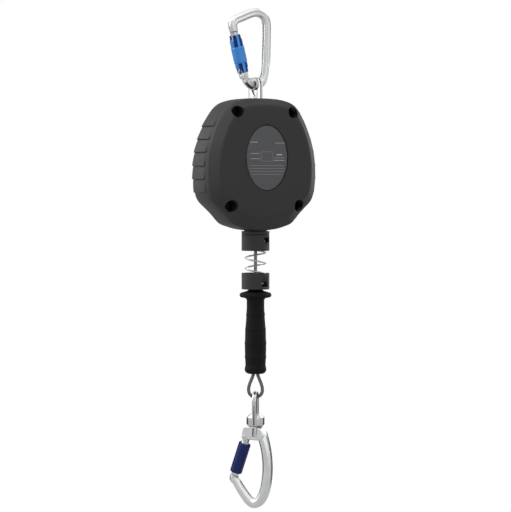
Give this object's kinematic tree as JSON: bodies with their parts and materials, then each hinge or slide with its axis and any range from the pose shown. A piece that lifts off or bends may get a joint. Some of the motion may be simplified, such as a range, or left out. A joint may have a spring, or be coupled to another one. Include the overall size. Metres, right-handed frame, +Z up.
{
  "type": "self retracting lifeline",
  "caption": "Self retracting lifeline: domed housing with a sprung rope drum and ratchet brake, hung from a twist-lock carabiner, with bumper spring, grip and swivel hook below.",
  "frame": {"origin": "inside of the top carabiner's crown, where it bears on the anchor that the object hangs from", "axes": "+Z up along the hanging lifeline, -Y out of the front cover with the label, +X to the right seen from the front"},
  "size_m": [0.1732, 0.081, 0.6983],
  "materials": {
    "charcoal_plastic": "moulded, fine grain",
    "label_grey": "satin",
    "black_rubber": "matt",
    "zinc_steel": "bright zinc",
    "spring_steel": "drawn",
    "aluminium": "polished",
    "blue_anodised": "anodised",
    "navy_anodised": "anodised",
    "bronze": "turned",
    "friction_lining": "matt",
    "white_nylon": "satin"
  },
  "bodies": {
    "carabiner": {"carabiner_body": "aluminium", "carabiner_gate_pin": "zinc_steel"},
    "carabiner_gate": {"carabiner_gate": "aluminium", "carabiner_gate_spring": "spring_steel"},
    "carabiner_sleeve": {"carabiner_sleeve": "blue_anodised"},
    "housing": {"front_cover": "charcoal_plastic", "rear_cover": "charcoal_plastic", "label_plate": "label_grey", "cover_screw_1": "zinc_steel", "cover_screw_2": "zinc_steel", "cover_screw_3": "zinc_steel", "cover_screw_4": "zinc_steel", "anchor_plate": "zinc_steel", "front_frame_plate": "zinc_steel", "rear_frame_plate": "zinc_steel", "tie_stud_left": "zinc_steel", "tie_stud_right": "zinc_steel", "drum_shaft": "zinc_steel", "shaft_nut": "zinc_steel", "spring_arbor": "zinc_steel", "ratchet_ring": "zinc_steel", "outlet_collar": "charcoal_plastic", "rope_nozzle": "white_nylon", "spring_cup_upper": "charcoal_plastic", "bumper_spring": "spring_steel"},
    "drum": {"drum": "aluminium", "drum_bush_front": "bronze", "drum_bush_rear": "bronze", "rope_core": "spring_steel", "rope_winding": "spring_steel", "friction_disc": "friction_lining", "pawl_disc": "zinc_steel", "disc_spring": "spring_steel", "hub_nut": "zinc_steel", "pawl_pin_1": "zinc_steel", "pawl_pin_2": "zinc_steel", "pawl_spring_1": "spring_steel", "pawl_spring_2": "spring_steel", "spring_case": "zinc_steel", "spring_lid": "zinc_steel", "power_spring": "spring_steel"},
    "pawl_1": {"pawl_1": "zinc_steel"},
    "pawl_2": {"pawl_2": "zinc_steel"},
    "bumper": {"spring_cup_lower": "charcoal_plastic"},
    "handle": {"rope_lead": "spring_steel", "grip": "black_rubber", "ferrule": "zinc_steel", "rope_eye": "spring_steel"},
    "swivel": {"swivel_eye": "zinc_steel", "swivel_stud": "zinc_steel"},
    "hook": {"hook_body": "aluminium", "hook_gate_pin": "zinc_steel"},
    "hook_gate": {"hook_gate": "aluminium", "hook_gate_spring": "spring_steel"},
    "hook_sleeve": {"hook_sleeve": "navy_anodised"}
  },
  "joints": [
    {"name": "carabiner_gate_swing", "type": "hinge", "parent": "carabiner", "child": "carabiner_gate", "pos_m": [-0.01882, -0.00264, -0.082], "axis": [-0.1392, 0.9903, 0], "range_deg": [0, 25], "stiffness_Nm_per_rad": 1, "springref_deg": -20.05},
    {"name": "carabiner_sleeve_twist", "type": "hinge", "parent": "carabiner_gate", "child": "carabiner_sleeve", "pos_m": [-0.01882, -0.00264, -0.082], "axis": [-0.2513, -0.0353, 0.9673], "range_deg": [0, 90], "stiffness_Nm_per_rad": 0.05, "springref_deg": -17.19},
    {"name": "housing_swing", "type": "hinge", "parent": "carabiner", "child": "housing", "pos_m": [0, 0, -0.096], "axis": [1, 0, 0], "range_deg": [-70, 70]},
    {"name": "drum_spin", "type": "hinge", "parent": "housing", "child": "drum", "pos_m": [0.015, 0, -0.2013], "axis": [0, -1, 0], "range_deg": [0, 9360]},
    {"name": "pawl_1_swing", "type": "hinge", "parent": "drum", "child": "pawl_1", "pos_m": [0.042, 0, -0.2013], "axis": [0, 1, 0], "range_deg": [0, 19], "stiffness_Nm_per_rad": 0.02, "springref_deg": -17.19},
    {"name": "pawl_2_swing", "type": "hinge", "parent": "drum", "child": "pawl_2", "pos_m": [-0.012, 0, -0.2013], "axis": [0, 1, 0], "range_deg": [0, 19], "stiffness_Nm_per_rad": 0.02, "springref_deg": -17.19},
    {"name": "bumper_press", "type": "slide", "parent": "housing", "child": "bumper", "axis": [0, 0, 1], "range_m": [0, 0.018], "stiffness_N_per_m": 2200, "springref_m": -0.004, "deforming": ["bumper_spring"]},
    {"name": "lifeline_pull", "type": "slide", "parent": "housing", "child": "handle", "axis": [0, 0, -1], "range_m": [0, 5.58], "stiffness_N_per_m": 2, "springref_m": -10, "deforming": ["rope_lead"]},
    {"name": "eye_swing", "type": "hinge", "parent": "handle", "child": "swivel", "pos_m": [0, 0, -0.53], "axis": [0.848, -0.5299, 0], "range_deg": [-60, 60]},
    {"name": "hook_swivel", "type": "hinge", "parent": "swivel", "child": "hook", "pos_m": [0, 0, -0.5702], "axis": [0, 0, 1], "continuous": true},
    {"name": "hook_gate_swing", "type": "hinge", "parent": "hook", "child": "hook_gate", "pos_m": [-0.00837, 0.01034, -0.586], "axis": [-0.7771, -0.6293, 0], "range_deg": [0, 25], "stiffness_Nm_per_rad": 1, "springref_deg": -20.05},
    {"name": "hook_sleeve_twist", "type": "hinge", "parent": "hook_gate", "child": "hook_sleeve", "pos_m": [-0.00837, 0.01034, -0.586], "axis": [-0.209, 0.2581, -0.9432], "range_deg": [0, 90], "stiffness_Nm_per_rad": 0.05, "springref_deg": -17.19}
  ],
  "couplings": [
    {"joint": "drum_spin", "follows": "lifeline_pull", "rad_per_m": 29.276}
  ]
}
